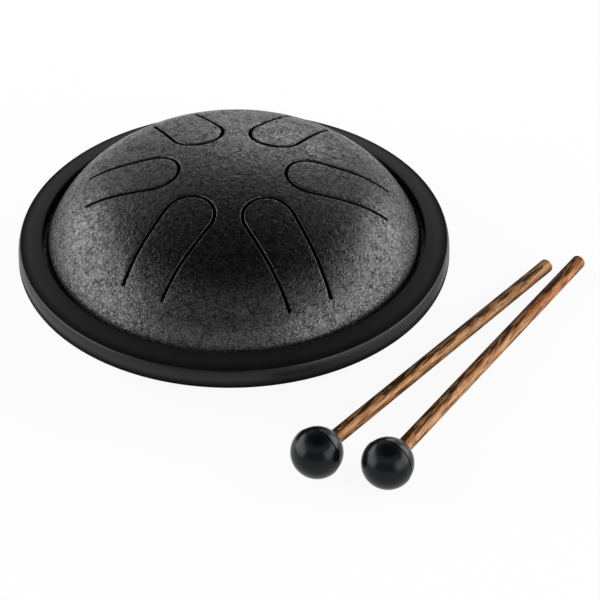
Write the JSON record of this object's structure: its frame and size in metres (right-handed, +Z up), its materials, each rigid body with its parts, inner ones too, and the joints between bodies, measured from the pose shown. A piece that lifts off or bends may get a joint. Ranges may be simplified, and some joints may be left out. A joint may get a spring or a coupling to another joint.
{
  "type": "steel tongue drum",
  "caption": "Small round steel tongue drum: a domed top with cut tongues, a rubber edge ring, a ported base on rubber feet, and a pair of ball-headed mallets.",
  "frame": {"origin": "on the drum's axis, in the plane that the three feet and both mallets lie on", "axes": "+Z up along the drum's axis; +X along the first tongue, so the other tongues follow every 60 degrees"},
  "size_m": [0.2365, 0.2217, 0.0684],
  "materials": {
    "coated_steel": "black wrinkle powder coat on pressed steel",
    "ring_rubber": "matte black moulded rubber",
    "foot_rubber": "matte black moulded rubber",
    "head_rubber": "satin black moulded rubber with a parting line",
    "stick_wood": "brown hardwood with dark streaks along the grain, oiled"
  },
  "bodies": {
    "drum": {"tongue_shell": "coated_steel", "base_shell": "coated_steel", "edge_ring": "ring_rubber", "rear_foot": "foot_rubber", "left_foot": "foot_rubber", "right_foot": "foot_rubber"},
    "left_mallet": {"left_mallet_stick": "stick_wood", "left_mallet_head": "head_rubber"},
    "right_mallet": {"right_mallet_stick": "stick_wood", "right_mallet_head": "head_rubber"}
  },
  "joints": [
    {"name": "left_mallet_lift", "type": "slide", "parent": "drum", "child": "left_mallet", "axis": [0, 0, 1], "range_m": [0, 0.12]},
    {"name": "right_mallet_lift", "type": "slide", "parent": "drum", "child": "right_mallet", "axis": [0, 0, 1], "range_m": [0, 0.12]}
  ]
}
